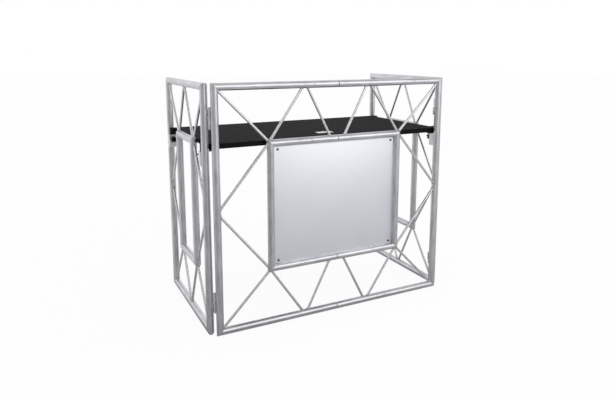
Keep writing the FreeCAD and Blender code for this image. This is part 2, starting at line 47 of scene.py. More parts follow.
# Tubes, rods and welds
TUBE_R = 0.0175
TUBE_WALL = 0.002
TUBE_SIDES = 64
TUBE_REACH = 0.06            # spare length before an end is mitred
SEAM_GAP = 0.0012            # between the two halves of a front rail
SEAM_CHAMFER = 0.0018
ROD_R = 0.0065
ROD_SIDES = 24
ROD_SINK = 0.0006            # rod end below the tube's skin
POST_NODE_Z = 0.6            # where the rods meet the upright posts
RAIL_NODE_X = 0.18           # where the rods meet the front rails, from the middle
RAIL_NODE_SPREAD = 0.012     # between the two rods there
INNER_NODE_X = 0.035         # where the rods meet the panel frame, from the middle
CORNER_AIM = 0.01            # rail and post rods aim outside the panel frame's corners
ROD_BEAD_R = 0.0028
ROD_BEAD_RIPPLE = 0.16
MITRE_BEAD_R = 0.0012
MITRE_BEAD_SINK = 0.0008
MITRE_BEAD_POINTS = 48
LEAF_BEAD_R = 0.0031         # along the edges of a hinge leaf, in two runs side by side
LEAF_BEAD_RIPPLE = 0.36
LEAF_BEAD_STEP = 0.0049
LEAF_BEAD_END = 0.0065       # short of the leaf's ends
LEAF_BEAD_OUT = 0.0184       # from the post's centre
LEAF_BEAD_TURNS = (math.radians(57), math.radians(67))   # of the two runs, from the leaf's middle

# Screws and knobs
SCREW_SIDES = 32
BUTTON_ROUND = 0.0017
HEX_KEY_R = 0.0018
HEX_KEY_DEPTH = 0.0016
LEAF_SCREW = {"head_r": 0.0045, "shank_r": 0.0025, "length": 0.014}
BOARD_SCREW = {"head_r": 0.0038, "shank_r": 0.002, "length": 0.016}
CROSS_SPAN = 0.55            # of the head's diameter
CROSS_WIDTH = 0.13           # of the head's diameter
CROSS_DEPTH = 0.0014
KNOB_CAP_INSET = 0.0042
KNOB_CAP_DEPTH = 0.0007

# Broken edges
PANEL_EDGE = 0.0006
TAB_EDGE = 0.0004
LEAF_EDGE = 0.0005
HINGE_PIN_EDGE = 0.0006
BRACKET_EDGE = 0.0006
REST_EDGE = 0.0015
KNOB_EDGE = 0.0003
BOARD_EDGE = 0.0002
EDGING_EDGE = 0.0006
TABLE_LEAF_EDGE = 0.0002
TABLE_PIN_EDGE = 0.0003

# Mesh work
EDGE_ANGLE = math.radians(35)     # a sharper edge is broken, or shaded sharp
FLAT_ANGLE = math.radians(0.5)    # faces nearer to one plane become one
FACING = 0.99                     # least cosine of a face that points one way
MERGE = 1e-5

# Floor and room. Levels are what mirrors see, as shares of white
FLOOR_SIZE = 60.0
FLOOR_DROP = 0.0005          # below the bottom rails
FLOOR_PALE = (0.95, 0.95, 0.95, 1)
FLOOR_UNDER = (0.2, 0.2, 0.205, 1)   # for the light that it throws up at the booth
FLOOR_WHITE = 0.93           # share of plain white to the camera, the rest takes the shadow
FLOOR_FRONT = 0.46
# painted light: the floor glows brighter to mirrors towards the rear
FLOOR_REAR_PAINTED_LIGHT = 0.32
FLOOR_NEAR_PAINTED_SHADOW = 0.5             # share of the level that is left close to the booth, a painted shadow
FLOOR_LEFT_PAINTED_SHADE = 0.4        # share lost in the unlit left front, painted shade
ROOM_FRONT = 0.55
ROOM_REAR_GAIN = 0.43
ROOM_TOP_LOSS = 0.36
ROOM_LEFT_LOSS = 0.35
ROOM_DARKEST = 0.3
ROOM_SOFT = 0.85             # plain level of the diffuse light
WHITE = (1, 1, 1, 1)

# Lamp
LAMP_AT = (1.5, -3.6, 2.15)
LAMP_AIM = (0, -0.3, 0.9)
LAMP_WIDTH = 3.8
LAMP_HEIGHT = 3.0
LAMP_BRIGHTNESS = 1.1

# Camera, in the photograph's frame of 615 x 400
CAMERA_AT = (-1.3753, -2.74295, 1.3294)
CAMERA_YAW = math.radians(26.8)
CAMERA_PITCH = math.radians(-9.37)
CAMERA_LENS = 32.5
CAMERA_SENSOR = 36.0
CAMERA_SHIFT_Y = -0.0895


class Value:
    """A shader socket that sums can be written with."""

    def __init__(self, finish, socket):
        self.finish = finish
        self.socket = socket

    def __add__(self, other):
        return self.finish.sum("ADD", self, other)

    def __sub__(self, other):
        return self.finish.sum("SUBTRACT", self, other)

    def __rsub__(self, other):
        return self.finish.sum("SUBTRACT", other, self)

    def __mul__(self, other):
        return self.finish.sum("MULTIPLY", self, other)

    __radd__ = __add__
    __rmul__ = __mul__


class Finish:
    """A node tree of a material or the world."""

    def __init__(self, tree):
        self.tree = tree

    def node(self, kind, settings=None, values=None, output=0):
        """Add a node: settings first, then the values or links of its sockets."""
        made = self.tree.nodes.new(kind)
        for key, setting in (settings or {}).items():
            if key == "stops":
                stops = made.color_ramp.elements
                while len(stops) < len(setting):
                    stops.new(1.0)
                for stop, (place, colour) in zip(stops, setting):
                    stop.position = place
                    stop.color = (*colour, 1.0)
            else:
                setattr(made, key, setting)
        for key, value in (values or {}).items():
            if isinstance(value, Value):
                self.tree.links.new(value.socket, made.inputs[key])
            else:
                made.inputs[key].default_value = value
        return Value(self, made.outputs[output])

    def sum(self, operation, first, second):
        """A Math node on two values."""
        return self.node("ShaderNodeMath", {"operation": operation}, {0: first, 1: second})

    def noise(self, place, scale, detail=2.0, roughness=0.5):
        """Soft noise from 0 to 1, stretched by a scale for each axis."""
        spread = self.node("ShaderNodeMapping", None, {"Vector": place, "Scale": scale})
        return self.node("ShaderNodeTexNoise", None,
                         {"Vector": spread, "Scale": 1.0, "Detail": detail, "Roughness": roughness})

    def ramp(self, value, *stops):
        """Colours along a value."""
        return self.node("ShaderNodeValToRGB", {"stops": stops}, {"Fac": value})

    def spread(self, value, low, high):
        """A value's middle range drawn out to 0 and 1."""
        return self.node("ShaderNodeMapRange", {"interpolation_type": "SMOOTHSTEP"},
                         {"Value": value, "From Min": low, "From Max": high})

    def axis(self, vector, name):
        """One axis of a vector."""
        return self.node("ShaderNodeSeparateXYZ", None, {"Vector": vector}, name)

    def ray(self, kind):
        """1 for one kind of light ray, 0 for the others."""
        return self.node("ShaderNodeLightPath", output=f"Is {kind} Ray")


def material(name, metallic, specular=0.5):
    """New material with its Principled shader, and the piece's own coordinates."""
    made = bpy.data.materials.new(name)
    made.use_nodes = True
    finish = Finish(made.node_tree)
    shader = made.node_tree.nodes["Principled BSDF"]
    shader.inputs["Metallic"].default_value = metallic
    shader.inputs["Specular IOR Level"].default_value = specular
    place = finish.node("ShaderNodeTexCoord", output="Object")
    return made, finish, shader, place


def wire(finish, shader, colour, roughness, height, bump, depth):
    """Feed a shader's colour, roughness and bump."""
    links = finish.tree.links
    links.new(colour.socket, shader.inputs["Base Color"])
    links.new(roughness.socket, shader.inputs["Roughness"])
    dents = finish.node("ShaderNodeBump", None,
                        {"Height": height, "Strength": bump, "Distance": depth})
    links.new(dents.socket, shader.inputs["Normal"])


def mill_aluminium(name, along):
    """Bare drawn tube: fine streaks along it, cloudy handling marks and a little wear."""
    made, finish, shader, place = material(name, metallic=1.0)

    def stretched(across, lengthwise):
        return tuple(lengthwise if axis == along else across for axis in range(3))

    streaks = finish.noise(place, stretched(420.0, 7.0), detail=3.0, roughness=0.6)
    clouds = finish.noise(place, stretched(58.0, 12.0), detail=4.0, roughness=0.6)
    broad = finish.noise(place, (3.1,) * 3)
    marks = finish.spread(finish.noise(place, stretched(95.0, 30.0), detail=3.0), 0.56, 0.72)
    tone = clouds * 0.45 + streaks * 0.25 + broad * 0.3
    colour = finish.ramp(tone - marks * 0.1,
                         (0.32, (0.43, 0.43, 0.455)),
                         (0.50, (0.625, 0.63, 0.655)),
                         (0.66, (0.79, 0.79, 0.805)))
    wire(finish, shader, colour, clouds * 0.28 + marks * 0.12 + 0.18, streaks, bump=0.22, depth=0.0004)
    return made


def rod_aluminium():
    """Smooth bright rod with a faint drawn mottle."""
    made, finish, shader, place = material("rod_aluminium", metallic=1.0)
    clouds = finish.noise(place, (75.0,) * 3, detail=3.0)
    grain = finish.noise(place, (900.0,) * 3)
    colour = finish.ramp(clouds * 0.7 + grain * 0.3,
                         (0.30, (0.60, 0.60, 0.62)),
                         (0.70, (0.84, 0.84, 0.855)))
    wire(finish, shader, colour, clouds * 0.2 + 0.18, grain, bump=0.12, depth=0.0002)
    return made


def weld_metal():
    """Weld bead: pale, with frosted and sooty specks."""
    made, finish, shader, place = material("weld_metal", metallic=1.0)
    specks = finish.noise(place, (520.0,) * 3, detail=3.0)
    soot = finish.noise(place, (140.0,) * 3)
    colour = finish.ramp(specks * 0.5 + soot * 0.5,
                         (0.36, (0.12, 0.12, 0.12)),
                         (0.50, (0.5, 0.5, 0.505)),
                         (0.62, (0.85, 0.85, 0.855)))
    wire(finish, shader, colour, soot * 0.3 + 0.25, specks, bump=0.4, depth=0.0004)
    return made


def satin_panel():
    """Satin sheet with a fine upright grain."""
    made, finish, shader, place = material("satin_panel", metallic=1.0)
    grain = finish.noise(place, (1500.0, 1500.0, 18.0))
    clouds = finish.noise(place, (5.0,) * 3)
    colour = finish.ramp(grain * 0.45 + clouds * 0.55,
                         (0.25, (0.85, 0.86, 0.91)),
                         (0.75, (0.9, 0.91, 0.96)))
    wire(finish, shader, colour, clouds * 0.06 + grain * 0.06 + 0.46, grain, bump=0.05, depth=0.0002)
    return made


def plated_metal(name, dark, light, roughness):
    """Plated or satin sheet and turned metal, with a fine grain and faint stains that add roughness."""
    made, finish, shader, place = material(name, metallic=1.0)
    grain = finish.noise(place, (700.0,) * 3)
    stains = finish.noise(place, (90.0,) * 3, detail=3.0)
    colour = finish.ramp(stains * 0.7 + grain * 0.3, (0.3, dark), (0.7, light))
    wire(finish, shader, colour, stains * 0.25 + roughness, grain, bump=0.1, depth=0.0002)
    return made


def moulded_plastic(name, dark, light, roughness, grain_size, bump, specular):
    """Black plastic or laminate with a pebbled grain, rubbed rougher in places."""
    made, finish, shader, place = material(name, metallic=0.0, specular=specular)
    grain = finish.noise(place, (grain_size,) * 3)
    rubbing = finish.noise(place, (14.0,) * 3, detail=3.0)
    colour = finish.ramp(grain * 0.5 + rubbing * 0.5, (0.3, dark), (0.7, light))
    wire(finish, shader, colour, rubbing * 0.2 + roughness, grain, bump=bump, depth=0.0004)
    return made


FINISHES = {
    "tube_x": mill_aluminium("mill_aluminium_x", 0),
    "tube_y": mill_aluminium("mill_aluminium_y", 1),
    "tube_z": mill_aluminium("mill_aluminium_z", 2),
    "rod": rod_aluminium(),
    "weld": weld_metal(),
    "panel": satin_panel(),
    "hinge": plated_metal("hinge_plate", (0.68, 0.68, 0.695), (0.9, 0.9, 0.91), roughness=0.24),
    "pin": plated_metal("hinge_pin", (0.36, 0.36, 0.38), (0.55, 0.55, 0.57), roughness=0.22),
    "zinc": plated_metal("zinc_screw", (0.5, 0.51, 0.54), (0.7, 0.71, 0.73), roughness=0.2),
    # painted shade: the spigots are near-black so that the gap at each front rail seam reads as a dark line
    "spigot": plated_metal("spigot_painted_seam_shade", (0.04, 0.04, 0.042), (0.09, 0.09, 0.095), roughness=0.4),
    "black_screw": plated_metal("black_screw", (0.09, 0.09, 0.095), (0.2, 0.2, 0.21), roughness=0.22),
    "bracket": plated_metal("bracket_aluminium", (0.74, 0.74, 0.755), (0.88, 0.88, 0.89), roughness=0.38),
    "rest": moulded_plastic("rest_plastic", (0.004, 0.004, 0.004), (0.008, 0.008, 0.0085),
                            roughness=0.42, grain_size=900.0, bump=0.25, specular=0.16),
    "knob": moulded_plastic("knob_plastic", (0.004, 0.004, 0.004), (0.009, 0.009, 0.0095),
                            roughness=0.34, grain_size=1200.0, bump=0.2, specular=0.22),
    "laminate": moulded_plastic("table_laminate", (0.010, 0.010, 0.0112), (0.019, 0.019, 0.0212),
                                roughness=0.6, grain_size=650.0, bump=0.22, specular=0.03),
    "edging": moulded_plastic("table_edging", (0.0025, 0.0025, 0.0025), (0.005, 0.005, 0.005),
                              roughness=0.36, grain_size=800.0, bump=0.15, specular=0.1),
}


def deselect():
    bpy.ops.object.select_all(action="DESELECT")


def take(objects):
    """Select objects, the first one active."""
    deselect()
    for obj in objects:
        obj.select_set(True)
    bpy.context.view_layer.objects.active = objects[0]


def settled(name):
    """Name the new primitive and put its place into its mesh."""
    obj = bpy.context.object
    obj.name = name
    obj.data.name = name
    bpy.ops.object.transform_apply(location=True, rotation=True, scale=True)
    return obj


def editing(on):
    bpy.ops.object.mode_set(mode="EDIT" if on else "OBJECT")


def pick_faces(obj, wanted):
    """Select only the faces that a test of centre and normal wants."""
    editing(True)
    bpy.ops.mesh.select_mode(type="FACE")
    bpy.ops.mesh.select_all(action="DESELECT")
    editing(False)
    for face in obj.data.polygons:
        face.select = wanted(face.center, face.normal)
    editing(True)


def pick_edges(obj, wanted):
    """Select only the edges whose two ends a test wants."""
    editing(True)
    bpy.ops.mesh.select_mode(type="EDGE")
    bpy.ops.mesh.select_all(action="DESELECT")
    editing(False)
    points = obj.data.vertices
    for edge in obj.data.edges:
        edge.select = all(wanted(points[index].co) for index in edge.vertices)
    editing(True)


def applied(obj, kind, **settings):
    """Add a modifier and apply it."""
    take([obj])
    modifier = obj.modifiers.new(kind, kind)
    for key, setting in settings.items():
        setattr(modifier, key, setting)
    bpy.ops.object.modifier_apply(modifier=modifier.name)


def smooth(obj):
    take([obj])
    bpy.ops.object.shade_smooth_by_angle(angle=EDGE_ANGLE)


def joined(name, objects):
    """One piece from several."""
    take(objects)
    bpy.ops.object.join()
    obj = bpy.context.object
    obj.name = name
    obj.data.name = name
    return obj


def fitted(obj, body, slot, finish, *nodes):
    """Give a piece its finish and body, in place of CAD nodes."""
    obj.data.materials.clear()
    obj.data.materials.append(FINISHES[finish])
    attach(obj, body)
    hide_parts(*nodes)
    return obj


def middle(node):
    low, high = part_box(node)
    return (low + high) / 2


def tube(name, start, end, before, after):
    """Hollow tube between two corners, mitred towards the corners beside it or chamfered at the seam."""
    axis = (end - start).normalized()
    first = start - axis * TUBE_REACH if before else start
    last = end + axis * TUBE_REACH if after else end
    deselect()
    bpy.ops.mesh.primitive_cylinder_add(
        vertices=TUBE_SIDES, radius=TUBE_R, depth=(last - first).length, end_fill_type="NOTHING",
        location=(first + last) / 2, rotation=axis.to_track_quat("Z", "Y").to_euler())
    obj = settled(name)
    applied(obj, "SOLIDIFY", thickness=TUBE_WALL, offset=-1.0)
    for point, inward, neighbour in ((start, axis, before), (end, -axis, after)):
        if neighbour:
            turn = (neighbour - point).normalized()
            editing(True)
            bpy.ops.mesh.select_all(action="SELECT")
            bpy.ops.mesh.bisect(plane_co=point, plane_no=inward - turn, clear_inner=True)
            bpy.ops.mesh.bridge_edge_loops()
            bpy.ops.mesh.select_all(action="SELECT")
            bpy.ops.mesh.normals_make_consistent(inside=False)
        else:
            def on_rim(co):
                from_end = co - point
                along = from_end.dot(axis)
                return abs(along) < MERGE and (from_end - axis * along).length > TUBE_R - TUBE_WALL / 2
            pick_edges(obj, on_rim)
            bpy.ops.mesh.bevel(offset=SEAM_CHAMFER, segments=1, affect="EDGES")
        editing(False)
    smooth(obj)
    return obj


def tube_run(names, corners, body, closed):
    """Tubes along a run of corners, and the mitre corners with the corners beside them."""
    count = len(corners)
    tubes = []
    for index, name in enumerate(names):
        start, end = corners[index], corners[(index + 1) % count]
        before = corners[index - 1] if closed or index > 0 else None
        after = corners[(index + 2) % count] if closed or index + 2 < count else None
        axis = max(range(3), key=lambda n: abs((end - start)[n]))
        obj = tube(name + "_tube", start, end, before, after)
        tubes.append(fitted(obj, body, "tube_aluminium", "tube_" + "xyz"[axis], name))
    turns = range(count) if closed else range(1, count - 1)
    mitres = [(corners[n], corners[n - 1], corners[(n + 1) % count]) for n in turns]
    return tubes, mitres


def skin(objects):
    """What rays meet on the outside of some tubes."""
    points, faces = [], []
    for obj in objects:
        offset = len(points)
        points += [vertex.co.copy() for vertex in obj.data.vertices]
        faces += [[offset + n for n in face.vertices] for face in obj.data.polygons]
    return BVHTree.FromPolygons(points, faces)


def rod(start, end, tubes_skin):
    """Round rod between two nodes, each end coped to the tubes, and the outlines of its ends."""
    axis = (end - start).normalized()
    centre = (start + end) / 2
    deselect()
    bpy.ops.mesh.primitive_cylinder_add(
        vertices=ROD_SIDES, radius=ROD_R, depth=(end - start).length / 2, end_fill_type="NGON",
        location=centre, rotation=axis.to_track_quat("Z", "Y").to_euler())
    obj = settled("rod")
    outlines = []
    for way in (-axis, axis):
        ring = [vertex for vertex in obj.data.vertices if (vertex.co - centre).dot(way) > 0]
        across = way.orthogonal().normalized()
        up = way.cross(across)

        def turn(vertex):
            spoke = vertex.co - centre
            return math.atan2(spoke.dot(up), spoke.dot(across))

        ring.sort(key=turn)
        outline = []
        for vertex in ring:
            met = tubes_skin.ray_cast(vertex.co, way)[0]
            outline.append(met)
            vertex.co = met + way * ROD_SINK
        outlines.append(outline)
    return obj, outlines


def mitre_outline(corner, before, after):
    """Oval round a mitre, just under the skin and deepest at the outer tip."""
    to_before = (before - corner).normalized()
    to_after = (after - corner).normalized()
    inner = (to_before + to_after).normalized()
    side = to_before.cross(to_after).normalized()
    stretch = 1 / math.sin(to_before.angle(inner))
    outline = []
    for index in range(MITRE_BEAD_POINTS):
        turn = 2 * math.pi * index / MITRE_BEAD_POINTS
        outer_tip = max(0.0, -math.cos(turn)) ** 2
        radius = TUBE_R - MITRE_BEAD_SINK - outer_tip * (MITRE_BEAD_R - MITRE_BEAD_SINK)
        inward = inner * (radius * stretch * math.cos(turn))
        outline.append(corner + inward + side * (radius * math.sin(turn)))
    return outline


def beads(name, outlines, radius, ripple):
    """Weld beads along closed outlines, swelling and shrinking a little at each puddle."""
    curve = bpy.data.curves.new(name, "CURVE")
    curve.dimensions = "3D"
    curve.bevel_depth = radius
    curve.bevel_resolution = 2
    for outline in outlines:
        spline = curve.splines.new("POLY")
        spline.use_cyclic_u = True
        spline.points.add(len(outline) - 1)
        for index, (point, co) in enumerate(zip(spline.points, outline)):
            point.co = (*co, 1.0)
            point.radius = 1.0 - ripple * (index % 2)
    obj = bpy.data.objects.new(name, curve)
    scene.collection.objects.link(obj)
    take([obj])
    bpy.ops.object.convert(target="MESH")
    return bpy.context.object


def worked_copy(node):
    """Copy of a CAD node with its loose triangles joined into clean faces."""
    obj = bpy.data.objects.new(node + "_piece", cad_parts[node].data.copy())
    scene.collection.objects.link(obj)
    take([obj])
    bpy.ops.mesh.customdata_custom_splitnormals_clear()
    editing(True)
    bpy.ops.mesh.select_all(action="SELECT")
    bpy.ops.mesh.remove_doubles(threshold=MERGE)
    bpy.ops.mesh.dissolve_limited(angle_limit=FLAT_ANGLE)
    editing(False)
    return obj


def solids_of(node):
    """Boxes of a node's separate solids."""
    obj = worked_copy(node)
    editing(True)
    bpy.ops.mesh.select_all(action="SELECT")
    bpy.ops.mesh.separate(type="LOOSE")
    editing(False)
    boxes = []
    for part in list(bpy.context.selected_objects):
        points = [vertex.co for vertex in part.data.vertices]
        boxes.append([Vector([pick(point[n] for point in points) for n in range(3)]) for pick in (min, max)])
        bpy.data.objects.remove(part)
    return sorted(boxes, key=lambda box: tuple(box[0]))


def leaf_outlines(node, post, toward):
    """Loops along both edges of the hinge leaves on one post."""
    aside = Vector((-toward.y, toward.x, 0))
    outlines = []
    for low, high in solids_of(node):
        if low.x * post.x < 0:
            continue
        steps = int((high.z - low.z - 2 * LEAF_BEAD_END) / LEAF_BEAD_STEP)
        rising = [low.z + LEAF_BEAD_END + LEAF_BEAD_STEP * step for step in range(steps + 1)]
        falling = rising[-2::-1]
        for way in (-1, 1):
            outline = []
            for turn, heights in zip(LEAF_BEAD_TURNS, (rising, falling)):
                spoke = toward * math.cos(turn) + aside * (way * math.sin(turn))
                edge = post + spoke * LEAF_BEAD_OUT
                outline += [Vector((edge.x, edge.y, height)) for height in heights]
            outlines.append(outline)
    return outlines


def braced_frame(side, part, body, mitres, tubes, pairs, leaf_edges):
    """Rods of one frame as one piece, and its welds as another."""
    tubes_skin = skin(tubes)
    rods, outlines = [], []
    for start, end in pairs:
        obj, ends = rod(start, end, tubes_skin)
        rods.append(obj)
        outlines += ends
    rods = joined(f"{side}_{part}_rods", rods)
    smooth(rods)
    fitted(rods, body, "rod_aluminium", "rod", f"{side}_{part}_braces")
    welds = [beads("rod_beads", outlines, ROD_BEAD_R, ROD_BEAD_RIPPLE),
             beads("mitre_beads", [mitre_outline(*mitre) for mitre in mitres], MITRE_BEAD_R, ripple=0.0),
             beads("leaf_beads", leaf_edges, LEAF_BEAD_R, LEAF_BEAD_RIPPLE)]
    welds = joined(f"{side}_{part}_welds", welds)
    bpy.ops.object.shade_smooth()
    fitted(welds, body, "rod_aluminium", "weld")


def front_half(side):
    """Outer tubes, panel frame tubes, rods and welds of one half of the front."""
    post, inner = middle(f"{side}_front_post"), middle(f"{side}_panel_frame_post")
    top, bottom = middle(f"{side}_front_top_rail").z, middle(f"{side}_front_bottom_rail").z
    inner_top = middle(f"{side}_panel_frame_top_rail").z
    inner_bottom = middle(f"{side}_panel_frame_bottom_rail").z

    def at(x, z):
        return Vector((x, post.y, z))

    way = math.copysign(1, post.x)
    seam_x = way * SEAM_GAP / 2
    tubes, mitres = [], []
    for prefix, x, low, high in (("front", post.x, bottom, top),
                                 ("panel_frame", inner.x, inner_bottom, inner_top)):
        names = [f"{side}_{prefix}_{part}" for part in ("bottom_rail", "post", "top_rail")]
        corners = [at(seam_x, low), at(x, low), at(x, high), at(seam_x, high)]
        made, turns = tube_run(names, corners, "front_frame", closed=False)
        tubes += made
        mitres += turns
    pairs = []
    for rail, inner_rail in ((top, inner_top), (bottom, inner_bottom)):
        aim = at(inner.x + way * CORNER_AIM, inner_rail)
        pairs += [(at(post.x, rail), at(inner.x, inner_rail)), (at(post.x, POST_NODE_Z), aim),
                  (at(way * (RAIL_NODE_X + RAIL_NODE_SPREAD / 2), rail), aim),
                  (at(way * (RAIL_NODE_X - RAIL_NODE_SPREAD / 2), rail), at(way * INNER_NODE_X, inner_rail))]
    backward = Vector((0, 1, 0))
    leaf_edges = leaf_outlines("front_hinge_leaves", post, backward)
    braced_frame(side, "front", "front_frame", mitres, tubes, pairs, leaf_edges)


def wing(side):
    """Outer tubes, inner frame tubes, rods and welds of one wing."""
    body = f"{side}_wing"
    front, rear = middle(f"{body}_front_post"), middle(f"{body}_rear_post")
    inner_front, inner_rear = middle(f"{body}_inner_front_post"), middle(f"{body}_inner_rear_post")
    top, bottom = middle(f"{body}_top_rail").z, middle(f"{body}_bottom_rail").z
    inner_top, inner_bottom = middle(f"{body}_inner_top_rail").z, middle(f"{body}_inner_bottom_rail").z

    def at(y, z):
        return Vector((front.x, y, z))

    tubes, mitres = [], []
    for prefix, y0, y1, low, high in (("", front.y, rear.y, bottom, top),
                                      ("inner_", inner_front.y, inner_rear.y, inner_bottom, inner_top)):
        names = [f"{body}_{prefix}{part}" for part in ("front_post", "top_rail", "rear_post", "bottom_rail")]
        corners = [at(y0, low), at(y0, high), at(y1, high), at(y1, low)]
        made, turns = tube_run(names, corners, body, closed=True)
        tubes += made
        mitres += turns
    half_way = (front.y + rear.y) / 2
    pairs = []
    for rail, inner_rail in ((top, inner_top), (bottom, inner_bottom)):
        for y, inner_y in ((front.y, inner_front.y), (rear.y, inner_rear.y)):
            corner = at(inner_y, inner_rail)
            pairs += [(at(y, rail), corner), (at(half_way, rail), corner), (at(y, POST_NODE_Z), corner)]
    inward = Vector((-math.copysign(1, front.x), 0, 0))
    leaf_edges = leaf_outlines(f"{body}_hinge_leaves", front, inward)
    braced_frame(side, "wing", body, mitres, tubes, pairs, leaf_edges)


def softened(node, body, slot, finish, edge):
    """CAD node with its sharp edges broken and its flat faces kept flat."""
    obj = worked_copy(node)
    applied(obj, "BEVEL", width=edge, segments=2, limit_method="ANGLE", angle_limit=EDGE_ANGLE)
    smooth(obj)
    applied(obj, "WEIGHTED_NORMAL", keep_sharp=True)
    fitted(obj, body, slot, finish, node)


def carved(obj, cutter):
    """Cut one shape out of another."""
    applied(obj, "BOOLEAN", operation="DIFFERENCE", solver="EXACT", object=cutter)
    bpy.data.objects.remove(cutter)


def button_screw():
    """Round-head screw with a hexagon socket, its seat at the origin and its head towards -Y."""
    low, high = solids_of("panel_screws")[0]
    head_r = (high.x - low.x) / 2
    length = high.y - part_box("front_panel")[0].y
    head = high.y - low.y - length
    quarter = (math.pi / 2, 0, 0)
    deselect()
    bpy.ops.mesh.primitive_cylinder_add(vertices=SCREW_SIDES, radius=head_r, depth=head,
                                        location=(0, -head / 2, 0), rotation=quarter)
    obj = settled("button_screw")
    pick_edges(obj, lambda co: co.y < MERGE - head)
    bpy.ops.mesh.bevel(offset=BUTTON_ROUND, segments=5, affect="EDGES")
    pick_faces(obj, lambda centre, normal: normal.y > FACING)
    bpy.ops.mesh.inset(thickness=head_r / 2)
    bpy.ops.mesh.extrude_region_move(TRANSFORM_OT_translate={"value": (0, length, 0)})
    editing(False)
    deselect()
    bpy.ops.mesh.primitive_cylinder_add(vertices=6, radius=HEX_KEY_R, depth=2 * HEX_KEY_DEPTH,
                                        location=(0, -head, 0), rotation=quarter)
    carved(obj, settled("hex_key"))
    smooth(obj)
    return obj


def countersunk_screw(head_r, shank_r, length):
    """Flat-head screw with a cross recess, its face at the origin and its shank towards +Z."""
    deselect()
    cone = head_r - shank_r
    bpy.ops.mesh.primitive_cone_add(vertices=SCREW_SIDES, radius1=head_r, radius2=shank_r, depth=cone,
                                    location=(0, 0, cone / 2))
    obj = settled("countersunk_screw")
    pick_faces(obj, lambda centre, normal: normal.z > FACING)
    bpy.ops.mesh.extrude_region_move(TRANSFORM_OT_translate={"value": (0, 0, length - cone)})
    editing(False)
    arm_size = (2 * head_r * CROSS_SPAN, 2 * head_r * CROSS_WIDTH, 2 * CROSS_DEPTH)
    for turn in (0, math.pi / 2):
        deselect()
        bpy.ops.mesh.primitive_cube_add(size=1, location=(0, 0, 0), rotation=(0, 0, turn), scale=arm_size)
        carved(obj, settled("cross_arm"))
    smooth(obj)
    return obj


def screw_set(node, body, slot, finish, pattern, spots):
    """Copies of one screw at the spots of a node, as one piece. A spot is a place and a direction."""
    copies = []
    for index, (place, turn) in enumerate(spots):
        copy = bpy.data.objects.new(f"{node}_{index}", pattern.data.copy())
        scene.collection.objects.link(copy)
        copy.location = place
        copy.rotation_euler = turn
        take([copy])
        bpy.ops.object.transform_apply(location=True, rotation=True, scale=True)
        copies.append(copy)
    fitted(joined(node + "_piece", copies), body, slot, finish, node)


def flat_head_spots(node, axis, sign):
    """Where the countersunk heads of a node sit, with the turn that points their shanks along an axis."""
    spots = []
    for low, high in solids_of(node):
        place = (low + high) / 2
        place[axis] = low[axis] if sign > 0 else high[axis]
        direction = Vector([sign if n == axis else 0 for n in range(3)])
        spots.append((place, direction.to_track_quat("Z", "Y").to_euler()))
    return spots


def panel():
    """Flat panel with broken edges."""
    low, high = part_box("front_panel")
    deselect()
    bpy.ops.mesh.primitive_cube_add(size=1, location=(low + high) / 2, scale=high - low)
    obj = settled("front_panel_sheet")
    editing(True)
    bpy.ops.mesh.select_all(action="SELECT")
    bpy.ops.mesh.bevel(offset=PANEL_EDGE, segments=3, affect="EDGES")
    editing(False)
    smooth(obj)
    fitted(obj, "front_frame", "panel_aluminium", "panel", "front_panel")


def star_knob(name):
    """Star knob with a sunk cap in the middle of its face."""
    obj = worked_copy(name)
    grip = max(obj.data.polygons, key=lambda face: face.area)
    face_y = grip.center.y
    away = math.copysign(1, grip.normal.y)
    pick_faces(obj, lambda centre, normal: abs(centre.y - face_y) < MERGE and normal.y * away > FACING)
    bpy.ops.mesh.inset(thickness=KNOB_CAP_INSET)
    bpy.ops.mesh.extrude_region_move(TRANSFORM_OT_translate={"value": (0, -away * KNOB_CAP_DEPTH, 0)})
    editing(False)
    applied(obj, "BEVEL", width=KNOB_EDGE, segments=2, limit_method="ANGLE", angle_limit=EDGE_ANGLE)
    smooth(obj)
    fitted(obj, name, "knob_plastic", "knob", name)


def panel_screw_spots():
    """Where the panel's screws sit, on the face of the panel."""
    spots = []
    for low, high in solids_of("panel_screws"):
        seat = (low + high) / 2
        seat.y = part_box("front_panel")[0].y
        spots.append((seat, (0, 0, 0)))
    return spots


def screws():
    """All screws, each set copied from one pattern."""
    spots = panel_screw_spots()
    pattern = button_screw()
    screw_set("panel_screws", "front_frame", "black_screw", "black_screw", pattern, spots)
    bpy.data.objects.remove(pattern)

    pattern = countersunk_screw(**LEAF_SCREW)
    spots = flat_head_spots("front_hinge_screws", axis=1, sign=-1)
    screw_set("front_hinge_screws", "front_frame", "zinc_screw", "zinc", pattern, spots)
    for side in SIDES:
        node = f"{side}_wing_hinge_screws"
        spots = flat_head_spots(node, axis=0, sign=math.copysign(1, middle(node).x))
        screw_set(node, f"{side}_wing", "zinc_screw", "zinc", pattern, spots)
    bpy.data.objects.remove(pattern)

    pattern = countersunk_screw(**BOARD_SCREW)
    for side in SIDES:
        node = f"{side}_table_hinge_screws"
        spots = flat_head_spots(node, axis=2, sign=-1)
        screw_set(node, f"table_{side}", "zinc_screw", "zinc", pattern, spots)
    bpy.data.objects.remove(pattern)


